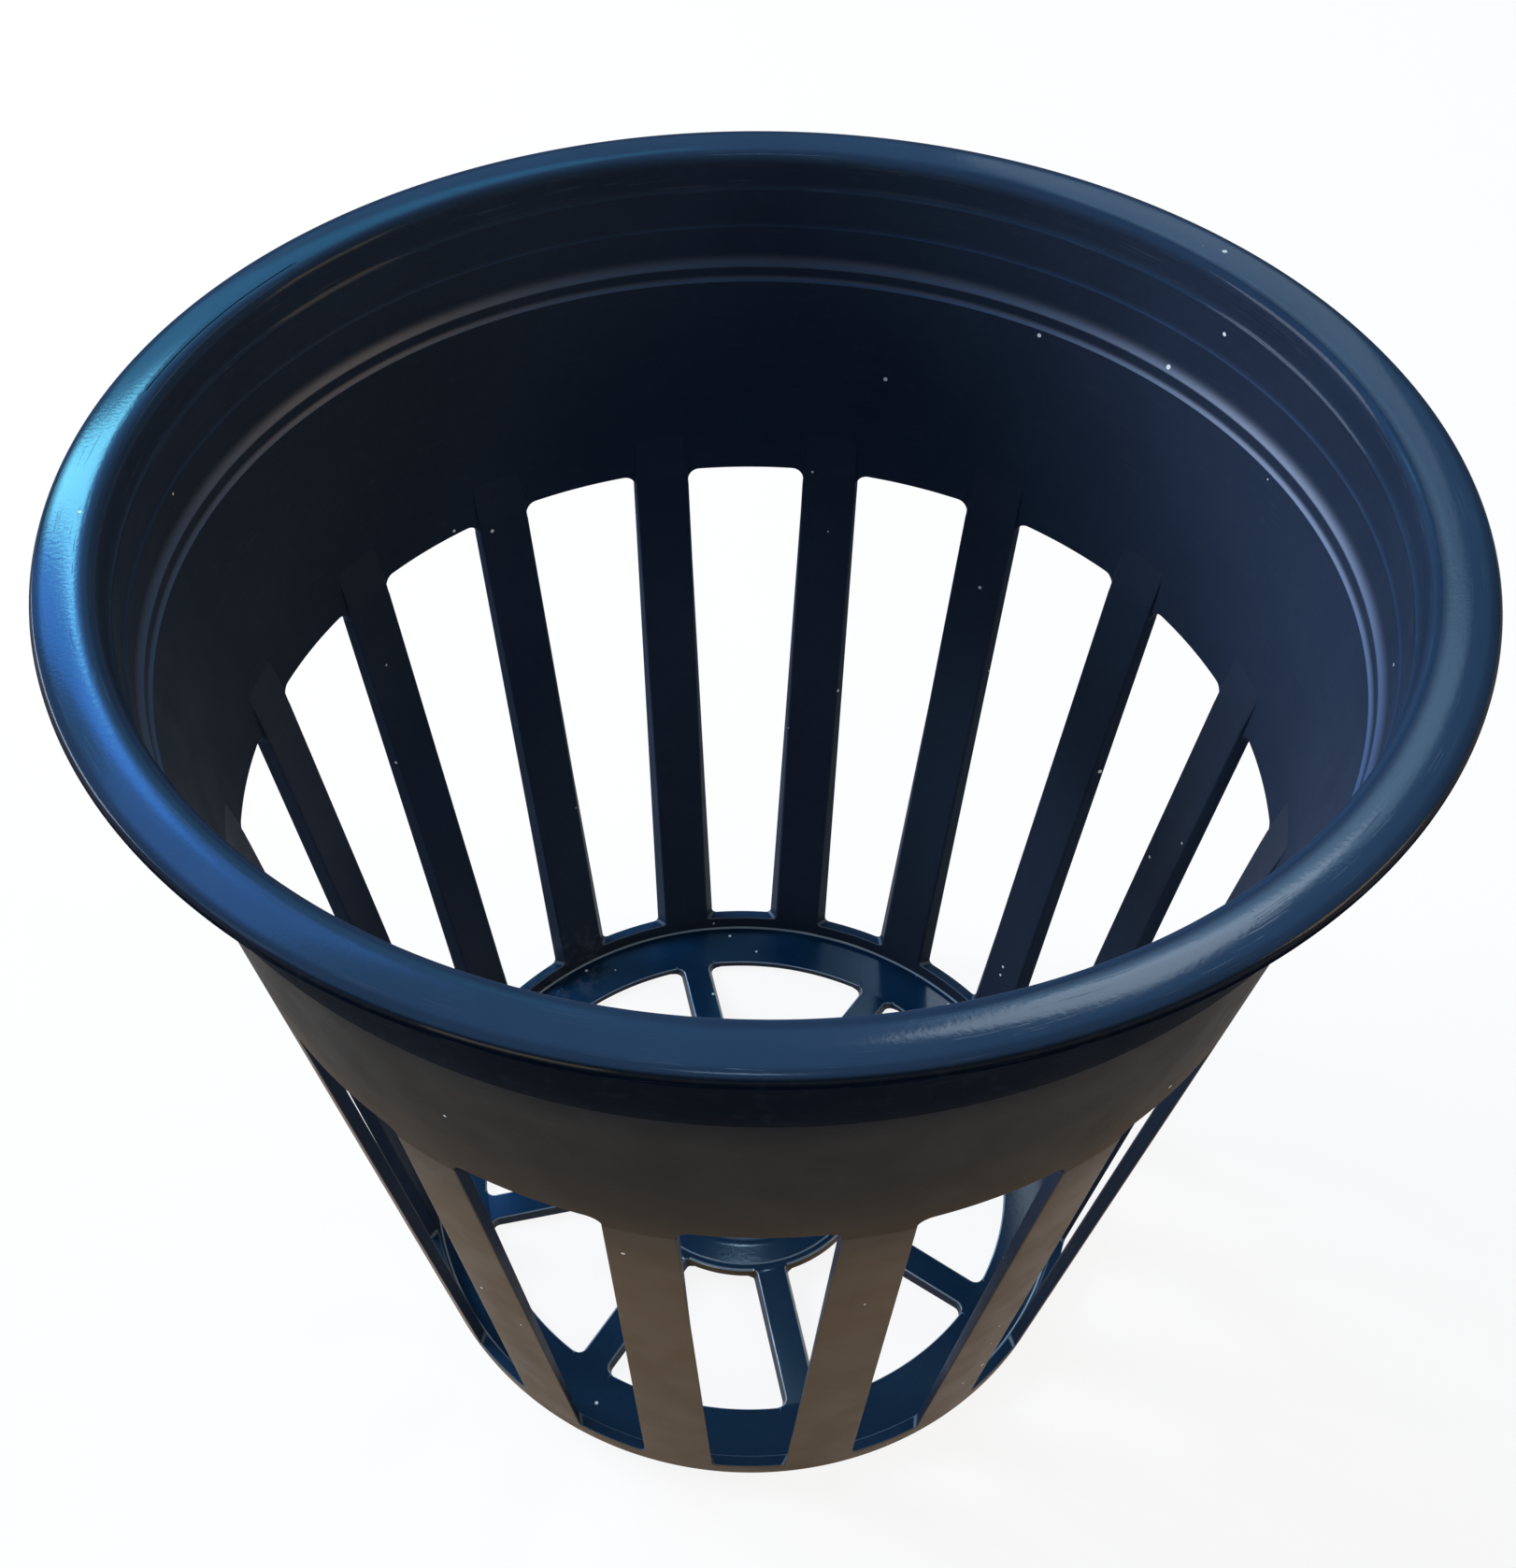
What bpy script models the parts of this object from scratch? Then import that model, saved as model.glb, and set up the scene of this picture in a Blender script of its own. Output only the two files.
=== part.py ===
"""Net pot: a slotted hydroponic basket with a wide rim, a stepped collar, ribs and an open floor.

The real pot is one injection moulding. It is modelled here as the regions a mould maker
would name, each its own solid: rim, collar, band, ribs, hoop, floor ring, spokes and hub.
Metres, +Z up, origin at the middle of the base on the surface that the pot stands on.
A slot is centred on +Y, and the ribs stand half a pitch to either side of it.
"""
import math

import bmesh
import bpy
from mathutils import Matrix

MM = 0.001

# Overall sizes
RIM_RADIUS = 70.0 * MM
POT_HEIGHT = 122.0 * MM
BASE_RADIUS = 44.6 * MM
SEAM = 0.3 * MM

# Rim flange
FLANGE_WIDTH = 6.4 * MM
FLANGE_THICKNESS = 1.8 * MM
FLANGE_CROWN = 0.35 * MM
MOUTH_ROUND = 1.3 * MM
UNDERCUT_ROUND = 0.6 * MM

# Stepped collar: how far each ledge lies below the rim's top, and how far it juts inward
COLLAR_WALL = 1.4 * MM
LEDGE_DROPS = (4.4 * MM, 9.3 * MM, 14.4 * MM, 16.2 * MM)
LEDGE_WIDTHS = (0.45 * MM, 0.30 * MM, 0.80 * MM, 0.50 * MM)
LEDGE_SWEEP = 1.4 * MM
OUTER_STEP_CHAMFER = 0.5 * MM

# Conical wall and its slots
WALL = 1.3 * MM
SLOT_COUNT = 16
SLOT_TOP = 80.2 * MM
SLOT_CORNER = 1.5 * MM

# Ribs between the slots
RIB_OUTER_WIDTH_TOP = 7.3 * MM
RIB_OUTER_WIDTH_BOTTOM = 8.8 * MM
RIB_INNER_WIDTH_TOP = 7.1 * MM
RIB_INNER_WIDTH_BOTTOM = 6.2 * MM
RIB_DEPTH_TOP = 1.65 * MM
RIB_DEPTH_BOTTOM = 1.5 * MM
RIB_EDGE = 0.25 * MM
ROOT_LENGTH = 6.5 * MM
ROOT_SINK = 0.1 * MM

# Base hoop and floor
HOOP_HEIGHT = 3.0 * MM
HOOP_WALL = 1.5 * MM
HOOP_ROUND = 0.4 * MM
FLOOR_THICKNESS = 1.0 * MM
FLOOR_RING_WIDTH = 6.6 * MM
FLOOR_EDGE = 0.25 * MM

# Spokes and hub: the middle of the floor is raised off the surface
SPOKE_COUNT = 8
SPOKE_WIDTH = 3.8 * MM
SPOKE_SIDE_SLOPE = 0.35
FLOOR_CORNER = 1.2 * MM
HUB_RADIUS = 17.4 * MM
HUB_LIFT = 0.8 * MM
HUB_THICKNESS = 1.8 * MM
HUB_DOME = 0.8 * MM
HUB_EDGE = 0.5 * MM
HUB_STEP_RADIUS = 12.5 * MM
HUB_STEP = 0.25 * MM

# Facets, and how far stock and cutters run past a cut
RING_STEPS = 80
ARC_STEPS = 4
SMALL_ARC_STEPS = 2
LIP_STEPS = 5
CROWN_STEPS = 4
DOME_STEPS = 3
OVERRUN = 3.0 * MM
SHARP_ANGLE = math.radians(35.0)
WELD = 0.00001

# Sizes that follow from the ones above
MOUTH_RADIUS = RIM_RADIUS - FLANGE_WIDTH
FLANGE_UNDERSIDE = POT_HEIGHT - FLANGE_THICKNESS
LEDGE_HEIGHTS = [POT_HEIGHT - drop for drop in LEDGE_DROPS]
BAND_TOP = LEDGE_HEIGHTS[3]
BAND_TOP_RADIUS = MOUTH_RADIUS - sum(LEDGE_WIDTHS) + WALL
RIB_FOOT = HOOP_HEIGHT
RIB_HEAD = SLOT_TOP - SLOT_CORNER
HOOP_SEAT_RADIUS = BASE_RADIUS - WALL
HALF_PITCH = math.pi / SLOT_COUNT


def cone_radius(height):
    """Outer radius of the conical wall at a height above the base."""
    return BASE_RADIUS + (BAND_TOP_RADIUS - BASE_RADIUS) * height / BAND_TOP


def between(low, high, share):
    """The value a share of the way from low to high."""
    return low + (high - low) * share


def arc(centre_r, centre_z, radius, start_degrees, end_degrees, steps=ARC_STEPS):
    """Points of an arc in the radius and height plane, angles measured from +R towards +Z."""
    points = []
    for step in range(steps + 1):
        angle = math.radians(between(start_degrees, end_degrees, step / steps))
        points.append((centre_r + radius * math.cos(angle), centre_z + radius * math.sin(angle)))
    return points


def plastic(name, colour, roughness):
    """Black moulded plastic with a slight blue cast."""
    finish = bpy.data.materials.new(name)
    finish.use_nodes = True
    shader = finish.node_tree.nodes["Principled BSDF"]
    shader.inputs["Base Color"].default_value = (*colour, 1.0)
    shader.inputs["Roughness"].default_value = roughness
    shader.inputs["Metallic"].default_value = 0.0
    return finish


def place(name, mesh, finish, turn=0.0):
    """Link one object for a mesh, turned about the pot's axis."""
    solid = bpy.data.objects.new(name, mesh)
    solid.rotation_euler.z = turn
    if not mesh.materials:
        mesh.materials.append(finish)
    bpy.context.collection.objects.link(solid)
    return solid


def shade(mesh):
    """Smooth shading that keeps the sharp edges."""
    mesh.shade_smooth()
    mesh.set_sharp_from_angle(angle=SHARP_ANGLE)


def apply_modifiers(solid):
    """Keep the evaluated shape of an object as its mesh."""
    graph = bpy.context.evaluated_depsgraph_get()
    shape = bpy.data.meshes.new_from_object(solid.evaluated_get(graph))
    solid.modifiers.clear()
    shape.name = solid.name
    solid.data = shape
    shade(shape)


def turned(name, outline, finish, closed=True):
    """Turn an outline about Z. It runs down its outer side and comes back up inside."""
    count = len(outline)
    edges = [(step, step + 1) for step in range(count - 1)]
    if closed:
        edges.append((count - 1, 0))
    mesh = bpy.data.meshes.new(name)
    mesh.from_pydata([(radius, 0.0, height) for radius, height in outline], edges, [])
    solid = place(name, mesh, finish)
    screw = solid.modifiers.new("Turn", "SCREW")
    screw.angle = math.tau
    screw.steps = RING_STEPS
    screw.render_steps = RING_STEPS
    screw.use_merge_vertices = True
    screw.merge_threshold = WELD
    apply_modifiers(solid)
    return solid


def lofted(name, sections):
    """A closed mesh through a row of sections that have as many points each."""
    shape = bmesh.new()
    rows = [[shape.verts.new(point) for point in section] for section in sections]
    count = len(rows[0])
    for low, high in zip(rows, rows[1:]):
        for side in range(count):
            after = (side + 1) % count
            shape.faces.new((low[side], low[after], high[after], high[side]))
    shape.faces.new(list(reversed(rows[0])))
    shape.faces.new(rows[-1])
    bmesh.ops.recalc_face_normals(shape, faces=shape.faces[:])
    mesh = bpy.data.meshes.new(name)
    shape.to_mesh(mesh)
    shape.free()
    return mesh


def repeated(name, mesh, count, finish, offset=0.0):
    """One object that holds a ring of copies of a mesh."""
    ring = bmesh.new()
    for index in range(count):
        first = len(ring.verts)
        ring.from_mesh(mesh)
        ring.verts.ensure_lookup_table()
        turn = Matrix.Rotation(offset + index * math.tau / count, 3, "Z")
        bmesh.ops.rotate(ring, verts=ring.verts[first:], matrix=turn)
    whole = bpy.data.meshes.new(name)
    ring.to_mesh(whole)
    ring.free()
    return place(name, whole, finish)


def combine(solid, tool, operation):
    """Boolean one solid with another, which is used up."""
    boolean = solid.modifiers.new(tool.name, "BOOLEAN")
    boolean.operation = operation
    boolean.object = tool
    apply_modifiers(solid)
    bpy.data.objects.remove(tool)


def ledge_sweep(wall_radius, ledge_width, ledge_height):
    """The hollow curve that brings a step's wall in to the sharp corner of its ledge."""
    sweep = max(LEDGE_SWEEP, ledge_width)
    turn = math.degrees(math.acos(1.0 - ledge_width / sweep))
    centre_z = ledge_height + sweep * math.sin(math.radians(turn))
    return arc(wall_radius - sweep, centre_z, sweep, -turn, 0.0)


def ledge_radius(index):
    """Radius of the sharp inner corner of a ledge, counted from the top."""
    return MOUTH_RADIUS - sum(LEDGE_WIDTHS[:index + 1])


def rim_flange(finish):
    """Crowned flange with a round lip, the rolled edge of the mouth, and the neck to the first ledge."""
    lip = FLANGE_THICKNESS / 2
    neck_radius = MOUTH_RADIUS + COLLAR_WALL
    edge_height = POT_HEIGHT - FLANGE_CROWN
    outline = arc(RIM_RADIUS - lip, FLANGE_UNDERSIDE + lip, lip, 60.0, -90.0, LIP_STEPS)
    outline += arc(neck_radius + UNDERCUT_ROUND, FLANGE_UNDERSIDE - UNDERCUT_ROUND, UNDERCUT_ROUND,
                   90.0, 180.0, SMALL_ARC_STEPS)
    outline += [(neck_radius, LEDGE_HEIGHTS[0]), (ledge_radius(0), LEDGE_HEIGHTS[0])]
    outline += ledge_sweep(MOUTH_RADIUS, LEDGE_WIDTHS[0], LEDGE_HEIGHTS[0])[1:]
    outline += arc(MOUTH_RADIUS + MOUTH_ROUND, edge_height - MOUTH_ROUND, MOUTH_ROUND, 180.0, 100.0)
    crown_start, crown_end = outline[-1], outline[0]
    for step in range(1, CROWN_STEPS):
        share = step / CROWN_STEPS
        bulge = 1.0 - (2.0 * share - 1.0) ** 2
        chord_height = between(crown_start[1], crown_end[1], share)
        outline.append((between(crown_start[0], crown_end[0], share),
                        between(chord_height, POT_HEIGHT, bulge)))
    return turned("rim_flange", outline, finish)


def collar_ring(name, index, finish):
    """One step of the collar: a straight wall that sweeps in to its ledge."""
    wall_radius = ledge_radius(index - 1)
    outer_radius = wall_radius + COLLAR_WALL
    top = LEDGE_HEIGHTS[index - 1] - SEAM
    bottom = LEDGE_HEIGHTS[index]
    shoulder = min(OUTER_STEP_CHAMFER, LEDGE_WIDTHS[index - 1])
    outline = [(outer_radius + shoulder, top), (outer_radius, top - shoulder), (outer_radius, bottom)]
    outline += [(ledge_radius(index), bottom)]
    outline += ledge_sweep(wall_radius, LEDGE_WIDTHS[index], bottom)[1:]
    outline += [(wall_radius, top)]
    return turned(name, outline, finish)


def bar_section(height, outer_radius, inner_radius, outer_width, inner_width):
    """A rib's section: faces on the wall's curve, sides that close in, and broken inner edges."""
    slant = (outer_width - inner_width) / 2 / (outer_radius - inner_radius)
    side = [(outer_width / 2, outer_radius),
            (inner_width / 2 + slant * RIB_EDGE, inner_radius + RIB_EDGE),
            (inner_width / 2 - RIB_EDGE, inner_radius)]
    outline = side + [(0.0, inner_radius)] + [(-across, radius) for across, radius in reversed(side)]
    outline += [(-outer_width / 4, outer_radius), (0.0, outer_radius), (outer_width / 4, outer_radius)]
    return [(across, math.sqrt(radius ** 2 - across ** 2), height) for across, radius in outline]


def rib_shape(height):
    """Outer radius, inner radius and the two widths of a rib at a height."""
    share = (height - RIB_FOOT) / (SLOT_TOP - RIB_FOOT)
    outer = cone_radius(height)
    return (outer, outer - between(RIB_DEPTH_BOTTOM, RIB_DEPTH_TOP, share),
            between(RIB_OUTER_WIDTH_BOTTOM, RIB_OUTER_WIDTH_TOP, share),
            between(RIB_INNER_WIDTH_BOTTOM, RIB_INNER_WIDTH_TOP, share))


def rib_mesh():
    """One rib, from the hoop up to the slots' round corners."""
    foot, head = RIB_FOOT + SEAM, RIB_HEAD - SEAM
    heights = (foot, between(foot, head, 0.5), head)
    return lofted("rib", [bar_section(height, *rib_shape(height)) for height in heights])


def root_mesh():
    """The rib's upper end: it stands proud of the band's inner face and fades into it."""
    proud = RIB_DEPTH_TOP - WALL
    sections = []
    for height, rise in ((RIB_HEAD - OVERRUN / 2, proud), (SLOT_TOP, proud),
                         (SLOT_TOP + ROOT_LENGTH, -ROOT_SINK)):
        inner_face = cone_radius(height) - WALL
        sections.append(bar_section(height, inner_face + WALL / 2, inner_face - rise,
                                    RIB_INNER_WIDTH_TOP, RIB_INNER_WIDTH_TOP))
    return lofted("root", sections)


def slot_cutter_mesh():
    """A slot's round-cornered upper end, in line with the sloping sides of the ribs beside it."""
    outer, inner, outer_width, inner_width = rib_shape(SLOT_TOP)
    faces = []
    for radius in (inner - OVERRUN, outer + OVERRUN):
        rib_half = between(inner_width, outer_width, (radius - inner) / (outer - inner)) / 2
        half = radius * math.sin(HALF_PITCH) - rib_half * math.cos(HALF_PITCH)
        along = radius * math.cos(HALF_PITCH) + rib_half * math.sin(HALF_PITCH)
        corner = arc(half - SLOT_CORNER, SLOT_TOP - SLOT_CORNER, SLOT_CORNER, 0.0, 90.0)
        right = [(half, RIB_HEAD - 2 * OVERRUN)] + corner
        faces.append([(x, along, z) for x, z in right + [(-x, z) for x, z in reversed(right)]])
    return lofted("slot", faces)


def wall_band(finish):
    """The plain cone below the collar, with the slots' upper ends and the ribs' roots."""
    top = LEDGE_HEIGHTS[2] - SEAM
    wall_radius = ledge_radius(2)
    shoulder = min(OUTER_STEP_CHAMFER, LEDGE_WIDTHS[2])
    step_radius = wall_radius + COLLAR_WALL
    stub = RIB_HEAD - OVERRUN
    outline = [(step_radius + shoulder, top), (step_radius, top - shoulder), (cone_radius(BAND_TOP), BAND_TOP)]
    outline += [(cone_radius(stub), stub), (cone_radius(stub) - WALL, stub)]
    outline += [(ledge_radius(3), BAND_TOP)]
    outline += ledge_sweep(wall_radius, LEDGE_WIDTHS[3], BAND_TOP)[1:]
    outline += [(wall_radius, top)]
    band = turned("wall_band", outline, finish)
    combine(band, repeated("roots", root_mesh(), SLOT_COUNT, finish, HALF_PITCH), "UNION")
    combine(band, repeated("slots", slot_cutter_mesh(), SLOT_COUNT, finish), "DIFFERENCE")
    trim = [(0.0, RIB_HEAD), (RIM_RADIUS, RIB_HEAD), (RIM_RADIUS, 0.0), (0.0, 0.0)]
    combine(band, turned("trim", trim, finish, closed=False), "DIFFERENCE")
    return band


def base_hoop(finish):
    """The low hoop that the ribs stand on."""
    outline = [(cone_radius(HOOP_HEIGHT), HOOP_HEIGHT)]
    outline += arc(BASE_RADIUS - HOOP_ROUND, HOOP_ROUND, HOOP_ROUND, 0.0, -90.0, SMALL_ARC_STEPS)
    outline += [(HOOP_SEAT_RADIUS, 0.0), (HOOP_SEAT_RADIUS, FLOOR_THICKNESS)]
    outline += [(cone_radius(HOOP_HEIGHT) - HOOP_WALL, HOOP_HEIGHT)]
    return turned("base_hoop", outline, finish)


def floor_ring(finish):
    """The flat ring inside the hoop, with its upper inner edge broken."""
    outer = HOOP_SEAT_RADIUS - SEAM
    inner = outer - FLOOR_RING_WIDTH
    outline = [(outer, FLOOR_THICKNESS), (outer, 0.0), (inner, 0.0), (inner, FLOOR_THICKNESS - FLOOR_EDGE),
               (inner + FLOOR_EDGE, FLOOR_THICKNESS)]
    return turned("floor_ring", outline, finish)


def spoke_mesh():
    """A tapered spoke that climbs to the hub, with hollow corners where it meets hub and ring."""
    start = HUB_RADIUS + SEAM
    end = HOOP_SEAT_RADIUS - SEAM - FLOOR_RING_WIDTH - SEAM
    flares = []
    for step in range(ARC_STEPS + 1):
        angle = math.pi / 2 * step / ARC_STEPS
        flares.append((FLOOR_CORNER * (1.0 - math.cos(angle)), FLOOR_CORNER * (1.0 - math.sin(angle))))
    run = end - start
    stations = [(along / run, flare) for along, flare in flares]
    stations += [(1.0 - along / run, flare) for along, flare in reversed(flares)]
    sections = []
    for share, flare in stations:
        upper = between(HUB_LIFT + HUB_THICKNESS, FLOOR_THICKNESS, share)
        lower = between(HUB_LIFT, 0.0, share)
        half = SPOKE_WIDTH / 2 + flare
        section = []
        for side, height in ((-1, upper), (0, upper), (1, upper), (1, lower), (0, lower), (-1, lower)):
            across = side * (half + (upper - height) * SPOKE_SIDE_SLOPE)
            along = between(math.sqrt(start ** 2 - across ** 2), math.sqrt(end ** 2 - across ** 2), share)
            section.append((across, along, height))
        sections.append(section)
    return lofted("spoke", sections)


def dome_height(radius):
    """Height of the hub's crown over its edge, at a radius."""
    return HUB_LIFT + HUB_THICKNESS + HUB_DOME * (1.0 - (radius / HUB_RADIUS) ** 2)


def hub_disc(finish):
    """The domed disc in the middle, with a low raised centre."""
    outline = []
    for step in range(DOME_STEPS + 1):
        radius = HUB_STEP_RADIUS * step / DOME_STEPS
        outline.append((radius, dome_height(radius) + HUB_STEP))
    step_foot = HUB_STEP_RADIUS + HUB_STEP
    for radius in (step_foot, between(step_foot, HUB_RADIUS - HUB_EDGE, 0.5)):
        outline.append((radius, dome_height(radius)))
    edge_height = HUB_LIFT + HUB_THICKNESS
    outline += arc(HUB_RADIUS - HUB_EDGE, edge_height - HUB_EDGE, HUB_EDGE, 90.0, 0.0, SMALL_ARC_STEPS)
    outline += [(HUB_RADIUS, HUB_LIFT), (0.0, HUB_LIFT)]
    return turned("hub_disc", outline, finish, closed=False)


def build():
    """Clear the scene and model every piece."""
    for old in list(bpy.data.objects):
        bpy.data.objects.remove(old)
    rim_plastic = plastic("rim_plastic", (0.022, 0.026, 0.034), 0.38)
    wall_plastic = plastic("wall_plastic", (0.014, 0.016, 0.021), 0.48)
    rib_plastic = plastic("rib_plastic", (0.014, 0.016, 0.021), 0.46)
    floor_plastic = plastic("floor_plastic", (0.016, 0.019, 0.026), 0.42)
    rim_flange(rim_plastic)
    collar_ring("collar_ring_upper", 1, wall_plastic)
    collar_ring("collar_ring_lower", 2, wall_plastic)
    wall_band(wall_plastic)
    rib = rib_mesh()
    shade(rib)
    for index in range(SLOT_COUNT):
        place(f"rib_{index + 1:02d}", rib, rib_plastic, -(index + 0.5) * math.tau / SLOT_COUNT)
    base_hoop(wall_plastic)
    floor_ring(floor_plastic)
    spoke = spoke_mesh()
    shade(spoke)
    for index in range(SPOKE_COUNT):
        place(f"spoke_{index + 1:02d}", spoke, floor_plastic, HALF_PITCH - index * math.tau / SPOKE_COUNT)
    hub_disc(floor_plastic)


build()
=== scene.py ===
"""Net pot: the finished look of a moulded hydroponic basket, modelled piece by piece round its frame."""

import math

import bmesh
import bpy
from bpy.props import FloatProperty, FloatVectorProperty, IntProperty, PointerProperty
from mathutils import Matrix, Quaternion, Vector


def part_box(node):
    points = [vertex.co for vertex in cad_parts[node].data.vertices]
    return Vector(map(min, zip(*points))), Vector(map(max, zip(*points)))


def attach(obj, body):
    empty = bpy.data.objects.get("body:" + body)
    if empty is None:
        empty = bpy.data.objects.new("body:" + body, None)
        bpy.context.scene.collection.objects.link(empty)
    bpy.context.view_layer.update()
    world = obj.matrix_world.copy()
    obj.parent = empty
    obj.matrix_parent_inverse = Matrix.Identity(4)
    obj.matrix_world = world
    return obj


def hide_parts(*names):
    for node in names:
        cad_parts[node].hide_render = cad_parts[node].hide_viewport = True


bl_info = {
    "name": "Net Pot",
    "version": (1, 0, 0),
    "blender": (4, 5, 0),
    "location": "3D View > Sidebar > Net Pot",
    "description": "Models a slotted net pot in black plastic, one operator for each group of pieces",
    "category": "Add Mesh",
}

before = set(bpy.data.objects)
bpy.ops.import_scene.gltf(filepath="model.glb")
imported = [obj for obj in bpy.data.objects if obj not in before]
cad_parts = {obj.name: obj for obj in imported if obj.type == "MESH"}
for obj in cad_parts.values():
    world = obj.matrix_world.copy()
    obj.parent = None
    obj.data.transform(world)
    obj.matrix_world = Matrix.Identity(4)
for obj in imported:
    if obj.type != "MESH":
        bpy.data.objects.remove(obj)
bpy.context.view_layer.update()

MM = 0.001
RIM_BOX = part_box("rim_flange")
HOOP_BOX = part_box("base_hoop")

ROUND_STEPS = 320
CROWN_STEPS = 12
CORNER_STEPS = 8
SWEEP_STEPS = 10
SLOT_CORNER_STEPS = 8
LEDGE_EDGE_STEPS = 3
EDGE_STEPS = 3
SPOKE_EDGE_STEPS = 4
HUB_STEPS = 8
RIB_STRIPS = 8
# Start, end and steps of the rounded corners, in degrees from outward towards up
LIP_ARC = (60.0, -90.0, 14)
UNDERCUT_ARC = (90.0, 180.0, 6)
MOUTH_ARC = (180.0, 100.0, 12)
HOOP_ARC = (0.0, -90.0, 6)
RING_EDGE_ARC = (180.0, 90.0, 5)
JUNCTION_ARC = (-90.0, 0.0, 6)
HUB_EDGE_ARC = (80.0, 0.0, 8)
WELD = 0.002 * MM
NEARBY = 0.01 * MM
SEAM = 0.3 * MM
TUCK = 0.05 * MM
FLOOR_EDGE = 0.25 * MM
GROOVE_INSET = 1.0 * MM
DOME_RADII = (14.0 * MM, 15.2 * MM)
SPOKE_OVERLAP = 0.8 * MM
RIB_INNER_ROUND = 0.3 * MM
ROOT_FACE = 0.6 * MM
ROOT_INSET = 0.03 * MM
ROOT_SINK = 0.1 * MM
ROOT_STEP = SEAM / 6
CUTTER_REACH = 4
THROUGH_WALL = 0.5 * MM
SMOOTH_ANGLE = math.radians(40.0)
FLOOR_SIZE = 4.0
FLOOR_GAP = 0.05 * MM
SENSOR_WIDTH = 36.0
CLIP_START = 0.005
LAMP_AIM = 0.10
LAMP_REACH = 1.0
# Name, azimuth, elevation, size, tilt, power and colour
LAMPS = (
    ("window", -68.0, 25.0, (0.58, 0.40), 0.0, 17.0, (0.82, 0.89, 1.0)),
    ("hot_pane", -28.2, 34.6, (0.30, 0.075), -37.6, 1.1, (0.19, 0.72, 1.0)),
    ("blue_pane", -34.9, 36.8, (0.50, 0.10), -37.0, 0.95, (0.04, 0.26, 1.0)),
    ("teal_pane", -19.9, 32.4, (0.60, 0.14), -35.0, 0.27, (0.05, 0.58, 1.0)),
    ("low_pane", -25.9, 48.4, (0.35, 0.17), 28.0, 0.45, (0.07, 0.28, 1.0)),
    ("right_pane", 18.0, 31.0, (0.28, 0.28), 0.0, 0.18, (0.66, 0.85, 1.0)),
    ("high_pane", 19.0, 51.0, (0.19, 0.19), 0.0, 0.45, (0.74, 0.87, 1.0)),
    ("side_pane", 20.0, 44.0, (0.30, 0.14), 0.0, 0.22, (0.50, 0.80, 1.0)),
    ("overhead", 1.0, 75.6, (0.07, 0.07), 0.0, 0.45, (0.50, 0.79, 1.0)),
    ("room", 96.0, 25.0, (0.40, 0.40), 0.0, 4.5, (1.0, 0.66, 0.30)),
    ("warm_front", -150.0, 6.0, (0.40, 0.40), 0.0, 2.2, (1.0, 0.84, 0.60)),
)
HORIZON_BLEND = (0.10, 0.34)
# Where one colour goes over into the next: heights, then radii, then how squarely a face looks that way.
# These blends place painted light: painted sky reflection on upper faces, painted shade on the neck under the
# flange, and a painted warm reflection on the ribs outside.
LEDGE_BLEND = (110.0 * MM, 111.5 * MM)
# Painted shade: the neck under the flange darkens over these heights.
NECK_SHADE_BLEND = (99.0 * MM, 110.0 * MM)
# Painted reflection: the ribs outside turn warm brown below these heights.
RIB_REFLECTION_BLEND = (62.0 * MM, 94.0 * MM)
RIM_BLEND = (64.2 * MM, 65.6 * MM)
LIP_BLEND = (68.5 * MM, 69.3 * MM)
OUTWARD_BLEND = (0.45, 0.90)
UPWARD_BLEND = (0.25, 0.85)
SHINE_BLEND = (0.15, 0.60)
EDGE_RISE = (0.45, 0.60)
EDGE_FALL = (0.90, 0.97)
# How much of the painted sky light is left on the upper ledges, on the lip, and on upper faces away from the
# ledges and the crown.
LEDGE_SKY_LEFT = 0.08
LIP_SKY_LEFT = 0.2
SKY_BLUE_LEFT = 0.5
# Sizes of the plastic's small features, and the range of the noise that shows them
CLOUD_SIZE, CLOUD_RANGE, CLOUD_SHADE = 22 * MM, (0.35, 0.65, 0.0, 0.35), 0.4
WEAR_SIZE, WEAR_RANGE = 1.2 * MM, (0.5, 0.8, 0.0, 0.06)
GLOSS_SIZE, GLOSS_RANGE, GLOSS_BELOW, GLOSS_ABOVE = 6 * MM, (0.3, 0.7), 0.03, 0.05
GRAIN_SIZE, GRAIN_STRENGTH, GRAIN_DEPTH = 0.5 * MM, 0.2, 0.03 * MM
RUB_SIZE, RUB_DETAIL, RUB_RANGE, RUB_LENGTH = 0.25 * MM, 3.0, (0.60, 0.72), 2.0 * MM
RUB_PALE, RUB_DULL, RUB_RELIEF = 0.25, 0.3, -0.5
SPECK_CELL, SPECK_SIZES = 2.2 * MM, (0.04, 0.13)
SPECK_DULL, SPECK_RELIEF = 0.4, 2.0
SCUFF_PLACE = (-27.0 * MM, 35.5 * MM, 2.0 * MM)
SCUFF_REACH = (4.0 * MM, 9.0 * MM)
SCUFF_SIZE, SCUFF_DETAIL, SCUFF_RANGE = 1.4 * MM, 6.0, (0.45, 0.62)
SCUFF_PALE, SCUFF_RELIEF = 0.30, 4.0
WITNESS_RADIUS = 65.5 * MM
WITNESS_WIDTH = 0.10 * MM
WITNESS_CORE = 0.3
WITNESS_SPAN = (math.radians(141.0), math.radians(166.0))
WITNESS_FADE = 0.02
WITNESS_DULL, WITNESS_RELIEF = 0.9, 4.0
PAPER_SIZE, PAPER_RANGE, PAPER_SHADE, PAPER_ROUGHNESS = 12 * MM, (0.3, 0.7), 0.985, 0.9
BLACK = (0.0, 0.0, 0.0)


def length(title, note, millimetres):
    """A size that can be set in the panel, with its default in millimetres."""
    return FloatProperty(name=title, description=note, default=millimetres * MM, unit="LENGTH", precision=5)


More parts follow.
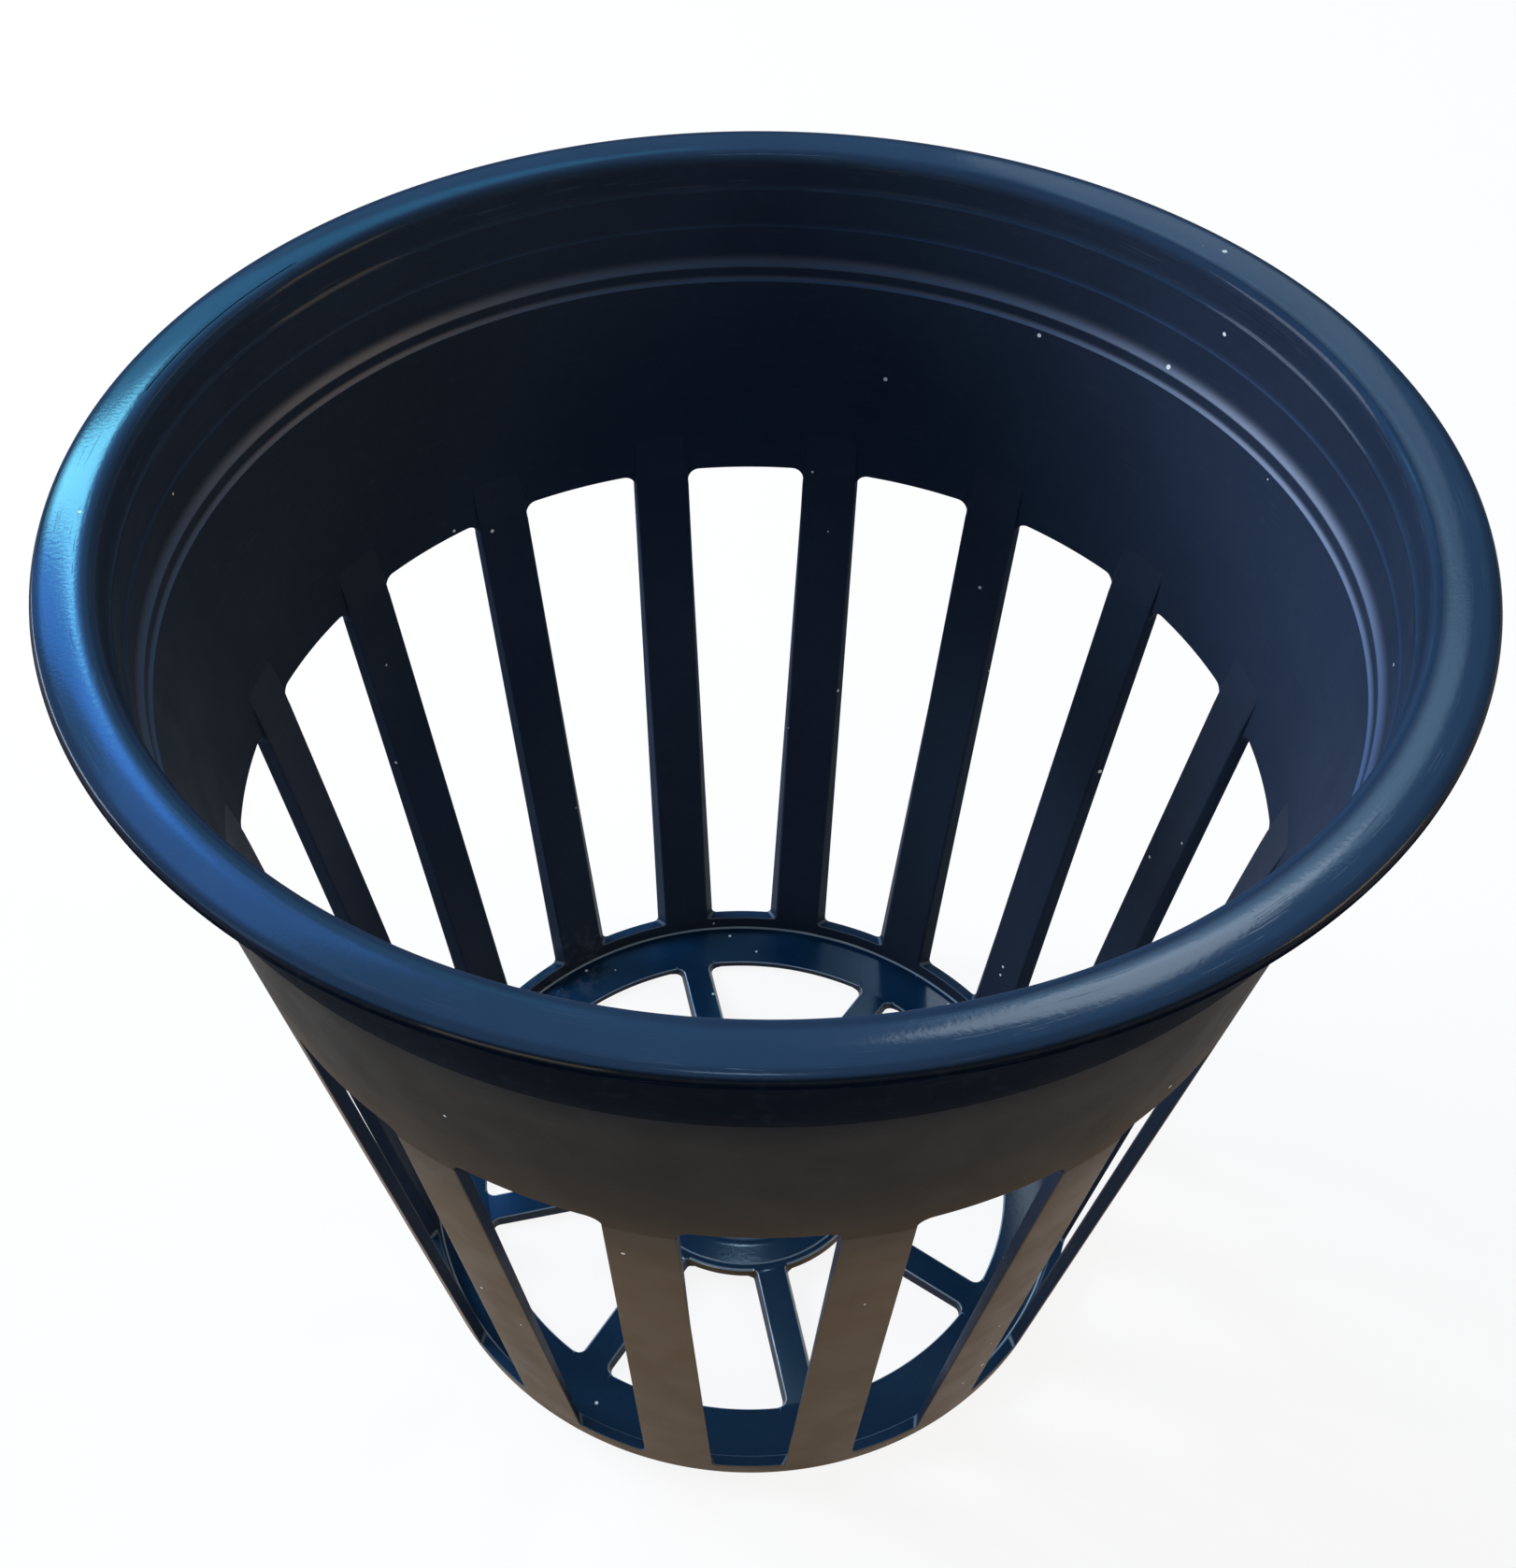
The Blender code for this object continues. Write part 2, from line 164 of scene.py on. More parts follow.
def lengths(title, note, millimetres):
    """A row of sizes that belong together."""
    values = [value * MM for value in millimetres]
    return FloatVectorProperty(name=title, description=note, default=values, size=len(values), unit="LENGTH")


def colour_of(title, note, colour):
    """A colour, or the tint of a reflection, that can be set in the panel."""
    return FloatVectorProperty(name=title, description=note, default=colour, size=3, subtype="COLOR")


def amount(title, note, value):
    """A plain number that can be set in the panel."""
    return FloatProperty(name=title, description=note, default=value)


class RimSizes(bpy.types.PropertyGroup):
    """Sizes of the flange and the stepped collar."""
    radius: length("Rim radius", "Radius of the flange's outer edge", RIM_BOX[1][0] / MM)
    height: length("Height", "Height of the flange's crown over the base", RIM_BOX[1][2] / MM)
    flange_width: length("Flange width", "From the mouth's wall to the outer edge", 6.4)
    flange_thickness: length("Flange thickness", "Thickness at the lip", 1.8)
    crown: length("Crown", "How far the flange's middle stands over its edges", 0.16)
    mouth_round: length("Mouth rounding", "Radius where the flange turns down into the mouth", 1.3)
    undercut_round: length("Undercut rounding", "Radius between the flange and the neck", 0.6)
    collar_wall: length("Collar wall", "Wall thickness of the collar", 1.4)
    ledge_drops: lengths("Ledge drops", "How far each ledge lies below the crown", (4.4, 9.3, 14.4, 16.2))
    ledge_widths: lengths("Ledge widths", "How far each ledge juts inward", (0.45, 0.30, 0.80, 0.50))
    ledge_sweeps: lengths("Ledge sweeps", "Radius of the hollow over each ledge", (1.5, 1.4, 3.1, 1.3))
    ledge_edge: length("Ledge edge", "Rounding of a ledge's corner", 0.14)
    outer_chamfer: length("Outer chamfer", "Slope of the collar's steps outside", 0.5)


class WallSizes(bpy.types.PropertyGroup):
    """Sizes of the conical wall, its slots and its ribs."""
    base_radius: length("Base radius", "Outer radius of the wall at the base", 44.6)
    thickness: length("Wall", "Wall thickness of the cone", 1.3)
    slot_count: IntProperty(name="Slots", description="How many slots the wall has", default=16, min=4)
    slot_top: length("Slot top", "Height of the slots' upper edge", 80.2)
    slot_corner: length("Slot corner", "Radius of the slots' upper corners", 1.5)
    foot_corner: length("Foot corner", "Radius where a rib meets the hoop", 0.6)
    edge_round: length("Edge rounding", "Rounding of the slots' edges", 0.22)
    rib_widths_top: lengths("Rib widths, top", "Outer and inner width at the slots' top", (7.3, 7.1))
    rib_widths_foot: lengths("Rib widths, foot", "Outer and inner width at the foot", (8.8, 6.2))
    rib_depths: lengths("Rib depths", "Depth of a rib at its foot and at the slots' top", (1.5, 1.65))
    root_length: length("Root", "How far a rib's root runs up the band", 6.5)
    hoop_height: length("Hoop height", "Height of the hoop that the ribs stand on", HOOP_BOX[1][2] / MM)
    hoop_wall: length("Hoop wall", "Wall thickness of the hoop", 1.5)
    hoop_round: length("Hoop rounding", "Rounding of the base's outer edge", 0.4)


class FloorSizes(bpy.types.PropertyGroup):
    """Sizes of the ring, the spokes and the hub."""
    thickness: length("Floor thickness", "Thickness of the ring", 1.0)
    ring_width: length("Ring width", "From the hoop to the floor's openings", 6.6)
    junction: length("Junction", "Fillet where the floor meets the hoop", 0.45)
    spoke_count: IntProperty(name="Spokes", description="How many spokes carry the hub", default=8, min=3)
    spoke_width: length("Spoke width", "Width of a spoke's top face", 3.8)
    side_slope: amount("Side slope", "How far a side leans out for its height", 0.35)
    corner: length("Ring corner", "Radius of the floor openings' corners beside the ring", 1.2)
    hub_corner: length("Hub corner", "Radius of the floor openings' corners beside the hub", 0.5)
    hub_radius: length("Hub radius", "Radius of the hub", 17.4)
    hub_lift: length("Hub lift", "Height of the hub's underside", 0.8)
    hub_thickness: length("Hub thickness", "Thickness of the hub at its edge", 1.55)
    hub_dome: length("Hub dome", "How far the middle stands over the edge", 1.05)
    hub_edge: length("Hub edge", "Rounding of the hub's edge", 0.5)
    step_radius: length("Step radius", "Radius of the hub's raised middle", 12.5)
    step_height: length("Step height", "Height of the raised middle", 0.25)
    groove: length("Groove", "Depth of the fine groove inside the hub's edge", 0.12)


class Finish(bpy.types.PropertyGroup):
    """Colours and gloss of the plastic."""
    # Painted sky reflection: the rim's black plastic with the sky's blue painted into it.
    rim_black_and_painted_sky: colour_of("Rim", "Colour of the rim", (0.0185, 0.0460, 0.0900))
    # Painted highlight: the ledges' bright blue stands in for the window's reflection on them.
    ledge_painted_highlight: colour_of("Ledges", "Colour of the collar's ledges", (0.0060, 0.0550, 0.1600))
    # Partly painted sky reflection: the blue of the upper faces of the floor, the ribs and the hoop.
    floor_colour: colour_of("Floor", "Colour of the floor's upper faces", (0.0025, 0.0190, 0.0500))
    wall_colour: colour_of("Wall", "Colour of the wall inside", (0.0135, 0.0225, 0.0420))
    # Painted shade: the dark of the neck stands in for the flange's shadow.
    neck_shade_colour: colour_of("Neck", "Colour of the neck under the flange", (0.0018, 0.0042, 0.0095))
    outer_colour: colour_of("Outside", "Colour of the wall outside", (0.0250, 0.0225, 0.0200))
    # Painted reflection: the ribs' brown outside stands in for a warm surface reflected in them.
    rib_painted_reflection: colour_of("Ribs outside", "Colour of the ribs outside", (0.0820, 0.0500, 0.0225))
    # Reflection tints painted by place: sky blue on upper faces, dim and warm outside.
    painted_sky_tint: colour_of("Sheen", "Tint of the reflections on upper faces", (0.42, 0.72, 1.0))
    wall_tint: colour_of("Wall sheen", "Tint of the reflections on the wall inside", (0.30, 0.36, 0.38))
    outer_tint: colour_of("Outer sheen", "Tint of the reflections outside", (0.22, 0.21, 0.18))
    # Partly wear, partly painted highlight: the light edges stand in for glints on the rounded edges.
    edge_wear_and_highlight: colour_of("Edges", "Colour of the floor's worn edges", (0.22, 0.30, 0.38))
    worn_colour: colour_of("Wear", "Colour of rubbed edges", (0.055, 0.070, 0.095))
    dust_colour: colour_of("Dust", "Colour of dust specks", (0.60, 0.63, 0.66))
    rim_roughness: amount("Rim roughness", "Gloss of the rim", 0.11)
    wall_roughness: amount("Wall roughness", "Gloss of the wall", 0.40)
    ledge_roughness: amount("Ledge roughness", "Gloss of the ledges", 0.55)
    floor_roughness: amount("Floor roughness", "Gloss of the floor", 0.14)


class Studio(bpy.types.PropertyGroup):
    """The stage: the floor, the sky, the lamps and the camera."""
    floor_colour: colour_of("Floor", "Colour of the floor", (0.86, 0.87, 0.88))
    floor_glow: amount("Floor glow", "How much of the floor's white is its own", 0.88)
    horizon_colour: colour_of("Horizon", "Colour of the light near the horizon", (0.90, 0.93, 0.96))
    sky_colour: colour_of("Sky", "Colour of the light from above", (0.32, 0.62, 1.0))
    sky_strength: amount("Sky strength", "Strength of the light from above", 0.22)
    lamp_strength: amount("Lamps", "Strength of all the lamps together", 1.0)
    camera_place: FloatVectorProperty(name="Camera place", description="Where the camera stands", size=3,
                                      subtype="XYZ", unit="LENGTH", default=(-0.004136, -0.155519, 0.244717))
    camera_turn: FloatVectorProperty(name="Camera turn", description="How the camera is turned", size=3,
                                     subtype="EULER", default=(0.765116, 0.017564, 0.015465))
    camera_shift: FloatVectorProperty(name="Camera shift", description="How far the image is shifted",
                                      size=2, default=(0.057534, -0.011963))
    lens: amount("Lens", "Focal length for a 36 mm sensor", 46.02)


def rim_of():
    return bpy.context.scene.net_pot_rim


def wall_of():
    return bpy.context.scene.net_pot_wall


def floor_of():
    return bpy.context.scene.net_pot_floor


def finish_of():
    return bpy.context.scene.net_pot_finish


def studio_of():
    return bpy.context.scene.net_pot_studio


def lone(piece):
    """Make a piece the only one selected, because an operator acts on all that is."""
    bpy.ops.object.select_all(action="DESELECT")
    piece.select_set(True)
    bpy.context.view_layer.objects.active = piece


def edit(piece):
    """Enter edit mode on one piece with everything in it selected."""
    lone(piece)
    bpy.ops.object.mode_set(mode="EDIT")
    bpy.ops.mesh.select_mode(type="VERT")
    bpy.ops.mesh.select_all(action="SELECT")


def leave():
    bpy.ops.object.mode_set(mode="OBJECT")


def pick(kind, test):
    """In edit mode, select the vertices, edges or faces whose middle passes a test."""
    bpy.ops.mesh.select_mode(type=kind)
    bpy.ops.mesh.select_all(action="DESELECT")
    mesh = bpy.context.edit_object.data
    shape = bmesh.from_edit_mesh(mesh)
    items = {"VERT": shape.verts, "EDGE": shape.edges, "FACE": shape.faces}[kind]
    found = [item for item in items if test(item)]
    for item in found:
        item.select_set(True)
    shape.select_flush_mode()
    bmesh.update_edit_mesh(mesh)
    if not found:
        raise RuntimeError(f"nothing to select on {bpy.context.edit_object.name}")


def middle(item):
    """The middle of an edge or a face, or a vertex's own place."""
    if isinstance(item, bmesh.types.BMVert):
        return item.co
    return sum((corner.co for corner in item.verts), Vector()) / len(item.verts)


def near(place, item, reach=NEARBY):
    return (middle(item) - Vector(place)).length < reach


def move(x=0.0, y=0.0, z=0.0):
    bpy.ops.transform.translate(value=(x, y, z))


def scale(x=1.0, y=1.0, z=1.0, about=(0.0, 0.0, 0.0)):
    bpy.ops.transform.resize(value=(x, y, z), center_override=about)


def extrude(x=0.0, y=0.0, z=0.0):
    bpy.ops.mesh.extrude_region_move(TRANSFORM_OT_translate={"value": (x, y, z)})


def round_edges(radius, segments):
    bpy.ops.mesh.bevel(offset=radius, offset_type="OFFSET", segments=segments, affect="EDGES",
                       clamp_overlap=False)


def face_outward():
    """In edit mode, select everything and turn all faces outward."""
    bpy.ops.mesh.select_all(action="SELECT")
    bpy.ops.mesh.normals_make_consistent(inside=False)


def apply(piece, modifier):
    lone(piece)
    bpy.ops.object.modifier_apply(modifier=modifier.name)


def arc(middle_r, middle_z, radius, start, end, steps):
    """Points of an arc beside the axis, its angles in degrees from outward towards up."""
    points = []
    for step in range(steps + 1):
        angle = math.radians(start + (end - start) * step / steps)
        points.append((middle_r + radius * math.cos(angle), middle_z + radius * math.sin(angle)))
    return points


def draw_profile(name, points, corners=(), closed=True):
    """Draw an outline in the XZ plane point by point, then round the corners that are named."""
    bpy.ops.object.select_all(action="DESELECT")
    bpy.ops.mesh.primitive_plane_add(size=MM, location=(0.0, 0.0, 0.0))
    piece = bpy.context.object
    piece.name = piece.data.name = name
    edit(piece)
    bpy.ops.mesh.merge(type="CENTER")
    move(x=points[0][0], z=points[0][1])
    for before, after in zip(points, points[1:]):
        step = (after[0] - before[0], 0.0, after[1] - before[1])
        bpy.ops.mesh.extrude_vertices_move(TRANSFORM_OT_translate={"value": step})
    if closed:
        ends = [(radius, 0.0, height) for radius, height in (points[0], points[-1])]
        pick("VERT", lambda vertex: any(near(end, vertex, WELD) for end in ends))
        bpy.ops.mesh.edge_face_add()
    for radius, height, size, segments in corners:
        pick("VERT", lambda vertex: near((radius, 0.0, height), vertex, WELD))
        bpy.ops.mesh.bevel(offset=size, segments=segments, affect="VERTICES", clamp_overlap=False)
    leave()
    return piece


def complete(piece, plastic, slot, *nodes):
    """Smooth a piece, give it its plastic, and let it stand for its nodes."""
    lone(piece)
    bpy.ops.object.transform_apply(location=True, rotation=True, scale=True)
    bpy.ops.object.shade_smooth_by_angle(angle=SMOOTH_ANGLE)
    even = piece.modifiers.new("Even shading", "WEIGHTED_NORMAL")
    even.keep_sharp = True
    apply(piece, even)
    piece.data.materials.clear()
    piece.data.materials.append(bpy.data.materials[plastic])
    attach(piece, "root")
    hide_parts(*nodes)
    return piece


def swing(piece, angle):
    """Turn a piece clockwise about the pot's axis. With no window the operator's sign is the other way."""
    edit(piece)
    bpy.ops.transform.rotate(value=angle, orient_axis="Z", center_override=(0.0, 0.0, 0.0))
    leave()
    return piece


def copy_round(piece, name, angle):
    """A copy with its own mesh, turned clockwise about the pot's axis."""
    lone(piece)
    bpy.ops.object.duplicate(linked=False)
    twin = bpy.context.object
    twin.name = twin.data.name = name
    return swing(twin, angle)


def all_round(piece, stem, count):
    """A piece and its copies all round the axis, numbered clockwise from the first."""
    pieces = [piece] + [copy_round(piece, f"{stem}_{index + 1:02d}_moulded", index * math.tau / count)
                        for index in range(1, count)]
    piece.name = piece.data.name = f"{stem}_01_moulded"
    return pieces


def sealed(piece):
    """Weld a piece, turn its faces outward, and stop if it has an open edge."""
    edit(piece)
    bpy.ops.mesh.remove_doubles(threshold=WELD)
    face_outward()
    shape = bmesh.from_edit_mesh(piece.data)
    open_edges = sum(1 for edge in shape.edges if len(edge.link_faces) != 2)
    leave()
    if open_edges:
        raise RuntimeError(f"{piece.name} has {open_edges} open edges")
    return piece


def ring_of(piece, count):
    """Repeat a sector round the axis and weld the copies into one ring."""
    name = piece.name
    sectors = [copy_round(piece, f"{name}_{index}", index * math.tau / count) for index in range(1, count)]
    bpy.ops.object.select_all(action="DESELECT")
    for sector in sectors:
        sector.select_set(True)
    piece.select_set(True)
    bpy.context.view_layer.objects.active = piece
    bpy.ops.object.join()
    return sealed(piece)


def turn(name, points, corners=(), closed=True):
    """Draw an outline and spin it all the way round the axis into a closed piece."""
    piece = draw_profile(name, points, corners, closed)
    edit(piece)
    bpy.ops.mesh.spin(steps=ROUND_STEPS, angle=math.tau, center=(0.0, 0.0, 0.0), axis=(0.0, 0.0, 1.0))
    leave()
    return sealed(piece)


def block(name, low, high):
    """A box between two corners, ready to be shaped."""
    bpy.ops.object.select_all(action="DESELECT")
    spot = [(a + b) / 2 for a, b in zip(low, high)]
    bpy.ops.mesh.primitive_cube_add(size=1.0, location=spot, scale=[b - a for a, b in zip(low, high)])
    piece = bpy.context.object
    piece.name = piece.data.name = name
    bpy.ops.object.transform_apply(location=True, rotation=True, scale=True)
    return piece


def strips(piece, half_width, count):
    """Cut a flat piece into strips across, so that it can follow a curve."""
    for index in range(1, count):
        edit(piece)
        across = half_width * (2.0 * index / count - 1.0)
        bpy.ops.mesh.bisect(plane_co=(0.0, across, 0.0), plane_no=(0.0, 1.0, 0.0), threshold=WELD)
        leave()


def wrap(piece, radius_for):
    """Bend a flat piece round the cone: X is depth from the outer face, Y runs along the wall."""
    for corner in piece.data.vertices:
        depth, across, height = corner.co
        radius = cone(height) + depth
        angle = across / radius_for(radius)
        corner.co = (radius * math.cos(angle), radius * math.sin(angle), height)


def ledge_height(index):
    """Height of a ledge of the collar, counted from the top."""
    rim = rim_of()
    return rim.height - rim.ledge_drops[index]


def wall_radius(index):
    """Inner radius of the collar's wall over a ledge, counted from the top."""
    rim = rim_of()
    return rim.radius - rim.flange_width - sum(rim.ledge_widths[:index])


def cone(height):
    """Outer radius of the conical wall at a height."""
    wall = wall_of()
    top_radius = wall_radius(4) + wall.thickness
    return wall.base_radius + (top_radius - wall.base_radius) * height / ledge_height(3)


def sweep_to(index):
    """The hollow curve from the corner of a ledge out to the wall over it."""
    rim = rim_of()
    sweep = rim.ledge_sweeps[index]
    turned = math.degrees(math.acos(1.0 - rim.ledge_widths[index] / sweep))
    centre_z = ledge_height(index) + sweep * math.sin(math.radians(turned))
    return arc(wall_radius(index) - sweep, centre_z, sweep, -turned, 0.0, SWEEP_STEPS)


def rim_piece():
    """The flange with its round lip, the rolled edge of the mouth, and the neck down to the first ledge."""
    rim = rim_of()
    lip = rim.flange_thickness / 2
    under = rim.height - rim.flange_thickness
    mouth = wall_radius(0)
    neck = mouth + rim.collar_wall
    foot = ledge_height(0) - SEAM
    edge_height = rim.height - rim.crown
    points = arc(rim.radius - lip, under + lip, lip, *LIP_ARC)
    points += arc(neck + rim.undercut_round, under - rim.undercut_round, rim.undercut_round, *UNDERCUT_ARC)
    points += [(neck, foot), (wall_radius(1), foot)]
    points += sweep_to(0)
    points += arc(mouth + rim.mouth_round, edge_height - rim.mouth_round, rim.mouth_round, *MOUTH_ARC)
    start, end = points[-1], points[0]
    for step in range(1, CROWN_STEPS):
        share = step / CROWN_STEPS
        bulge = 1.0 - (2.0 * share - 1.0) ** 2
        chord = start[1] + (end[1] - start[1]) * share
        points.append((start[0] + (end[0] - start[0]) * share, chord + (rim.height - chord) * bulge))
    corner = (wall_radius(1), ledge_height(0), rim.ledge_edge, LEDGE_EDGE_STEPS)
    return turn("rim_moulded", points, [corner])


def collar_piece(name, index):
    """One step of the collar, from under the ledge above it to its own ledge and a seam's width below."""
    rim = rim_of()
    outer = wall_radius(index) + rim.collar_wall
    top = ledge_height(index - 1) - SEAM
    foot = ledge_height(index) - SEAM
    shoulder = min(rim.outer_chamfer, rim.ledge_widths[index - 1])
    points = [(outer + shoulder, top), (outer, top - shoulder), (outer, foot), (wall_radius(index + 1), foot)]
    points += sweep_to(index)
    points += [(wall_radius(index), top)]
    corner = (wall_radius(index + 1), ledge_height(index), rim.ledge_edge, LEDGE_EDGE_STEPS)
    return turn(name, points, [corner])


def rib_section(height):
    """Depth of a rib and its outer and inner width at a height."""
    wall = wall_of()
    share = (height - wall.hoop_height) / (wall.slot_top - wall.hoop_height)
    pairs = (wall.rib_depths, (wall.rib_widths_foot[0], wall.rib_widths_top[0]),
             (wall.rib_widths_foot[1], wall.rib_widths_top[1]))
    return [low + (high - low) * share for low, high in pairs]


def slotted_sector(name, outline, height, low, high):
    """A stretch of wall between the middles of two ribs, with the slot's end cut out of it.

    The outline gives depth and height. The slot runs from low to high, each a height and a corner's size.
    """
    wall = wall_of()
    flat_radius = cone(height)
    half = flat_radius * math.pi / wall.slot_count
    piece = draw_profile(name, outline)
    edit(piece)
    bpy.ops.mesh.edge_face_add()
    extrude(y=2 * half)
    bpy.ops.mesh.select_all(action="SELECT")
    move(y=-half)
    face_outward()
    leave()
    depth, outer_width, inner_width = rib_section(height)
    outer_half = half - math.asin(outer_width / 2 / flat_radius) * flat_radius
    inner_half = half - math.asin(inner_width / 2 / (flat_radius - depth)) * flat_radius
    cutter = block("slot_end", (-2 * depth, -inner_half, low[0]), (depth, inner_half, high[0]))
    slant = (inner_half - outer_half) / depth
    edit(cutter)
    for face_x, face_half in ((depth, outer_half - slant * depth), (-2 * depth, inner_half + slant * depth)):
        pick("VERT", lambda vertex: abs(vertex.co.x - face_x) < WELD)
        scale(y=face_half / inner_half)
    for end_height, size in (low, high):
        if size:
            pick("EDGE", lambda edge: abs(middle(edge).z - end_height) < WELD and
                 abs(middle(edge).y) > inner_half / 2)
            round_edges(size, SLOT_CORNER_STEPS)
    face_outward()
    leave()
    cut = piece.modifiers.new("Slot", "BOOLEAN")
    cut.operation = "DIFFERENCE"
    cut.solver = "EXACT"
    cut.object = cutter
    apply(piece, cut)
    bpy.data.objects.remove(cutter)
    return piece, half


def band_piece():
    """The plain cone under the collar with the slots' round upper ends."""
    wall = wall_of()
    rim = rim_of()
    foot = wall.slot_top - wall.slot_corner - SEAM / 2
    top = ledge_height(2) - SEAM
    ledge = ledge_height(3)
    outer = wall_radius(3) + rim.collar_wall
    outline = [(0.0, foot), (0.0, ledge), (outer - cone(top - rim.outer_chamfer), top - rim.outer_chamfer),
               (outer + rim.outer_chamfer - cone(top), top)]
    inner = [(wall_radius(3), top)] + sweep_to(3)[::-1]
    outline += [(radius - cone(height), height) for radius, height in inner]
    outline += [(-wall.thickness, foot)]
    low = foot - CUTTER_REACH * wall.slot_corner
    piece, half = slotted_sector("band_moulded", outline, wall.slot_top, (low, 0.0),
                                 (wall.slot_top, wall.slot_corner))
    edit(piece)
    pick("EDGE", lambda edge: on_slot(edge, half, foot, wall.slot_top, (0.0, -wall.thickness)))
    round_edges(wall.edge_round, EDGE_STEPS)
    pick("FACE", lambda face: abs(abs(middle(face).y) - half) < WELD)
    bpy.ops.mesh.delete(type="FACE")
    leave()
    strips(piece, half, ROUND_STEPS // wall.slot_count)
    wrap(piece, lambda radius: cone(wall.slot_top))
    swing(piece, -math.pi / 2)
    return ring_of(piece, wall.slot_count)


def on_slot(edge, half, foot, head, depths):
    """Whether an edge lies on the slot's mouth, on the outer or the inner face of a flat wall."""
    place = middle(edge)
    inside = foot + WELD < place.z < head + WELD and abs(place.y) < half - WELD
    return inside and any(all(abs(end.co.x - depth) < WELD for end in edge.verts) for depth in depths)


def rib_piece():
    """One rib with the root that runs up the band's inner face and fades into it."""
    wall = wall_of()
    foot = wall.hoop_height + wall.foot_corner
    head = wall.slot_top - wall.slot_corner - SEAM / 2
    depth, width, inner_width = rib_section(foot)
    piece = block("rib", (-depth, -width / 2, foot), (0.0, width / 2, head))
    head_depth, head_width, head_inner = rib_section(head)
    edit(piece)
    for x, z, across in ((-depth, foot, inner_width), (0.0, head, head_width), (-depth, head, head_inner)):
        pick("EDGE", lambda edge: near((x, 0.0, z), edge))
        scale(y=across / width)
    move(x=depth - head_depth)
    for side, radius in ((1, wall.edge_round), (-1, RIB_INNER_ROUND)):
        pick("EDGE", lambda edge: abs(middle(edge).z - (foot + head) / 2) < WELD and
             (middle(edge).x + depth / 2) * side > 0)
        round_edges(radius, EDGE_STEPS)
    bpy.ops.mesh.select_all(action="SELECT")
    bpy.ops.mesh.bisect(plane_co=(-ROOT_FACE, 0.0, 0.0), plane_no=(1.0, 0.0, 0.0), threshold=WELD)
    pick("FACE", lambda face: abs(middle(face).z - head) < WELD and middle(face).x < -ROOT_FACE)
    extrude(z=ROOT_STEP)
    scale(y=1.0 - 2 * ROOT_INSET / head_inner)
    extrude(z=wall.slot_top - head - ROOT_STEP)
    extrude(x=head_depth - wall.thickness + ROOT_SINK, z=wall.root_length)
    leave()
    strips(piece, width / 2, RIB_STRIPS)
    wrap(piece, lambda radius: radius)
    return sealed(swing(piece, math.pi / wall.slot_count - math.pi / 2))


def hoop_piece():
    """The low hoop with the ribs' hollow-cornered feet."""
    wall = wall_of()
    floor = floor_of()
    head = wall.hoop_height + wall.foot_corner
    seat = wall.base_radius - wall.thickness
    outline = [(0.0, head)]
    outline += arc(-wall.hoop_round, wall.hoop_round, wall.hoop_round, *HOOP_ARC)
    outline += [(seat - cone(0.0), 0.0), (seat - cone(floor.thickness), floor.thickness),
                (-wall.hoop_wall, head)]
    high = head + CUTTER_REACH * wall.foot_corner
    piece, half = slotted_sector("hoop_moulded", outline, wall.hoop_height,
                                 (wall.hoop_height, wall.foot_corner), (high, 0.0))
    edit(piece)
    pick("EDGE", lambda edge: wall.hoop_height - WELD < middle(edge).z < head - WELD and
         abs(middle(edge).y) < half - WELD and not crosses(edge))
    round_edges(wall.edge_round, EDGE_STEPS)
    pick("FACE", lambda face: abs(abs(middle(face).y) - half) < WELD)
    bpy.ops.mesh.delete(type="FACE")
    leave()
    strips(piece, half, ROUND_STEPS // wall.slot_count)
    wrap(piece, lambda radius: cone(wall.hoop_height))
    swing(piece, -math.pi / 2)
    return ring_of(piece, wall.slot_count)


def crosses(edge):
    """Whether an edge runs through the thickness of a flat wall."""
    return abs(edge.verts[0].co.x - edge.verts[1].co.x) > THROUGH_WALL


def floor_ring_piece():
    """The flat ring inside the hoop, with a rounded inner edge and a fillet up to the hoop."""
    wall = wall_of()
    floor = floor_of()
    outer = wall.base_radius - wall.thickness
    inner = outer - SEAM - floor.ring_width
    top = floor.thickness
    tucked = outer + 3 * TUCK
    points = arc(inner + FLOOR_EDGE, top - FLOOR_EDGE, FLOOR_EDGE, *RING_EDGE_ARC)
    points += arc(outer + TUCK - floor.junction, top + floor.junction, floor.junction, *JUNCTION_ARC)
    points += [(tucked, top + floor.junction), (tucked, top / 2), (outer, top / 3), (outer, 0.0)]
    points += [(inner + FLOOR_EDGE / 2, 0.0), (inner, FLOOR_EDGE / 2)]
    return turn("floor_ring_moulded", points)


